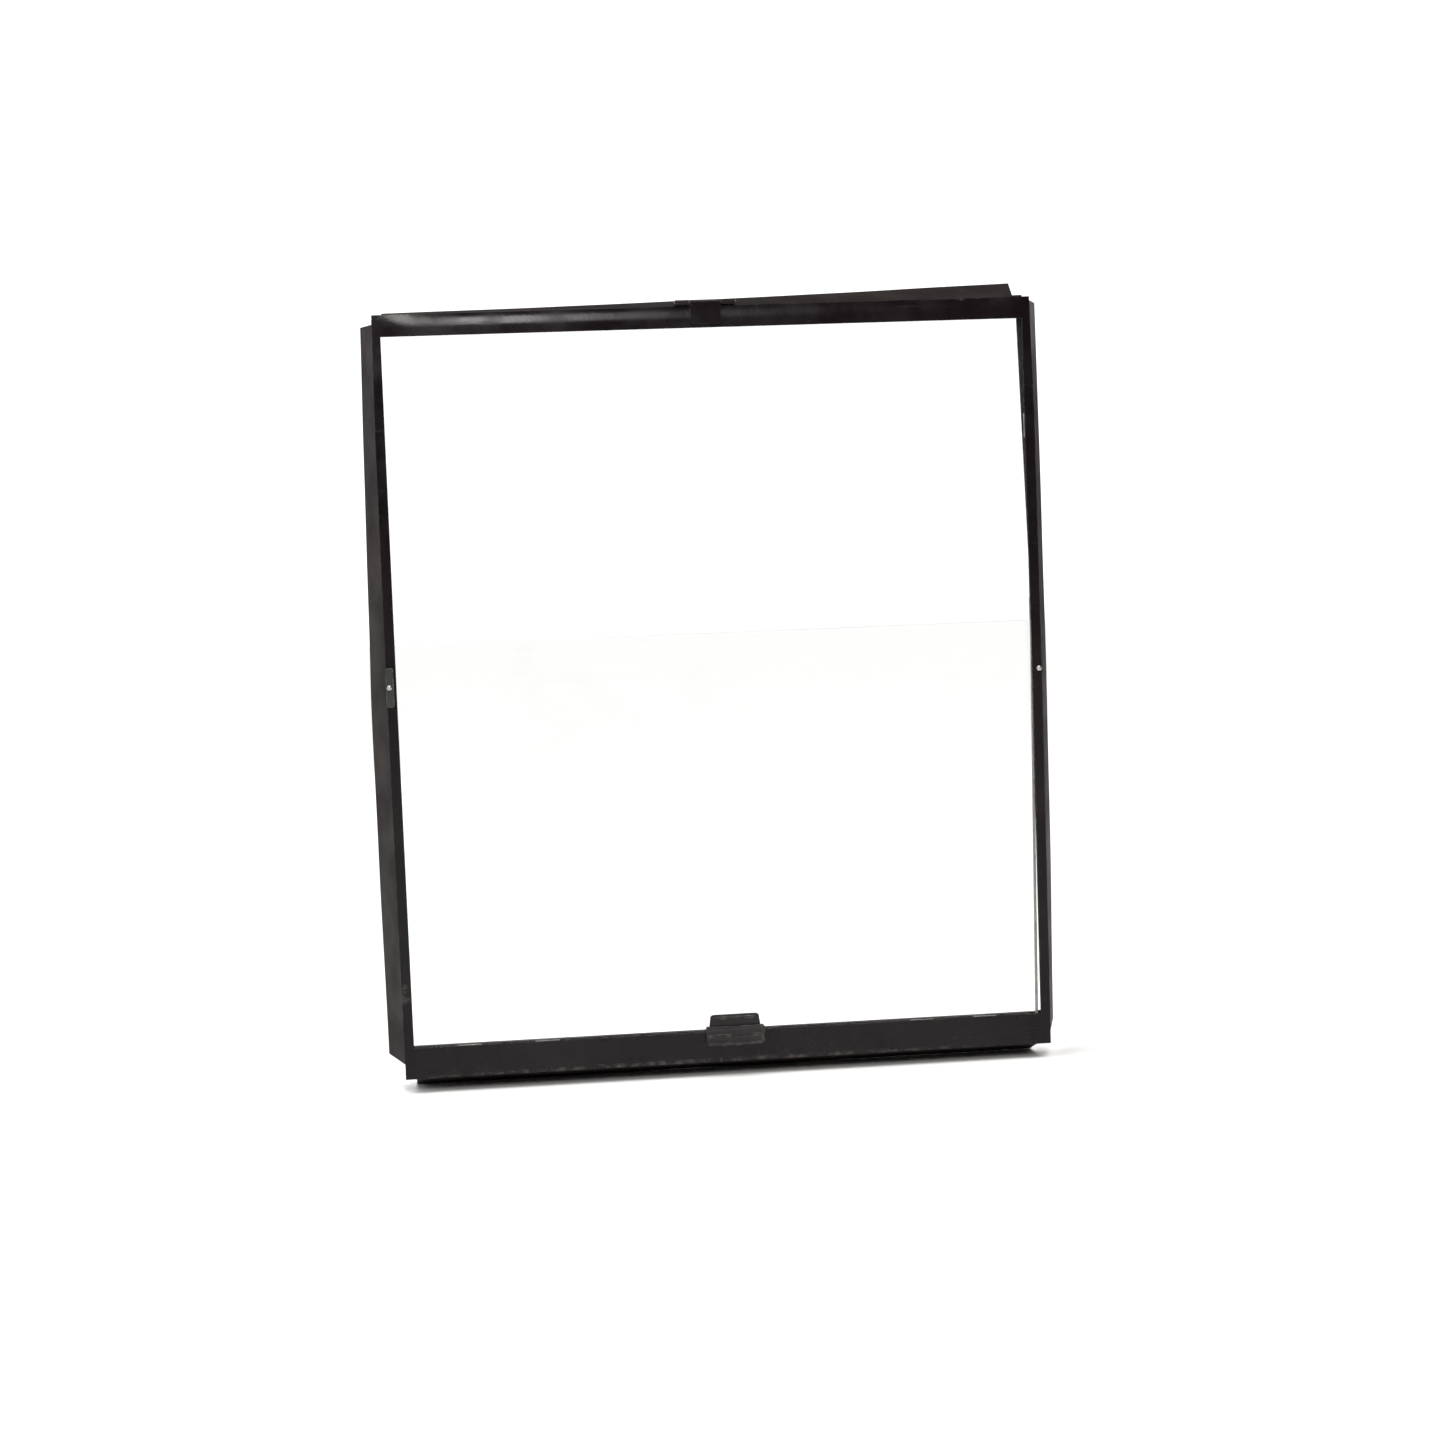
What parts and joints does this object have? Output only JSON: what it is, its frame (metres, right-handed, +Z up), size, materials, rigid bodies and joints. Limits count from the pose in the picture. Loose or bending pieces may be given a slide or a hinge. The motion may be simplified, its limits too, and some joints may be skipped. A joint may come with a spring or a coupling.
{
  "type": "floating picture frame",
  "caption": "Black sheet-metal floating frame with two clear panes, a top-hinged front leaf and a slide catch on the bottom rail.",
  "frame": {"origin": "middle of the bounding box's bottom, on the surface that the frame stands on", "axes": "+X to the right seen from the front, +Y from the front to the wall side, +Z up"},
  "size_m": [0.2323, 0.0214, 0.2652],
  "materials": {
    "face_paint": "satin black paint",
    "skirt_paint": "satin black paint, dusty",
    "catch_paint": "satin black paint, rubbed",
    "splice_paint": "thin worn paint over steel",
    "worn_steel": "rubbed bright",
    "clip_steel": "plain sheet",
    "clear_glass": "clear, ground edges"
  },
  "bodies": {
    "rear_leaf": {"rear_skirt_right": "skirt_paint", "rear_skirt_top": "skirt_paint", "rear_skirt_left": "skirt_paint", "rear_skirt_bottom": "skirt_paint", "rear_lip_right": "skirt_paint", "rear_lip_top": "skirt_paint", "rear_lip_left": "skirt_paint", "rear_lip_bottom": "skirt_paint", "rear_ledge_right": "skirt_paint", "rear_ledge_top": "skirt_paint", "rear_ledge_left": "skirt_paint", "rear_ledge_bottom": "skirt_paint", "corner_plate_top_left": "skirt_paint", "corner_plate_top_right": "skirt_paint", "corner_plate_bottom_left": "skirt_paint", "corner_plate_bottom_right": "skirt_paint", "rear_glass_clip_right_1": "clip_steel", "rear_glass_clip_right_2": "clip_steel", "rear_glass_clip_top_1": "clip_steel", "rear_glass_clip_top_2": "clip_steel", "rear_glass_clip_left_1": "clip_steel", "rear_glass_clip_left_2": "clip_steel", "rear_glass_clip_bottom_1": "clip_steel", "rear_glass_clip_bottom_2": "clip_steel", "rear_glass": "clear_glass", "hinge_rear_leaf": "skirt_paint", "hinge_pin": "worn_steel", "catch_keeper": "skirt_paint"},
    "front_leaf": {"front_glass_clip_right_1": "clip_steel", "front_glass_clip_right_2": "clip_steel", "front_glass_clip_top_1": "clip_steel", "front_glass_clip_top_2": "clip_steel", "front_glass_clip_left_1": "clip_steel", "front_glass_clip_left_2": "clip_steel", "front_glass_clip_bottom_1": "clip_steel", "front_glass_clip_bottom_2": "clip_steel", "front_glass": "clear_glass", "face_upper_half": "face_paint", "face_lower_half": "face_paint", "splice_plate_left": "splice_paint", "side_rivet_left": "worn_steel", "side_rivet_right": "worn_steel", "hinge_front_strap": "face_paint", "catch_guide": "catch_paint"},
    "catch": {"catch_slider": "catch_paint"}
  },
  "joints": [
    {"name": "front_leaf_hinge", "type": "hinge", "parent": "rear_leaf", "child": "front_leaf", "pos_m": [0, -0.00815, 0.26035], "axis": [-1, 0, 0], "range_deg": [0, 110]},
    {"name": "catch_slide", "type": "slide", "parent": "front_leaf", "child": "catch", "axis": [0, 0, 1], "range_m": [0, 0.002]}
  ]
}
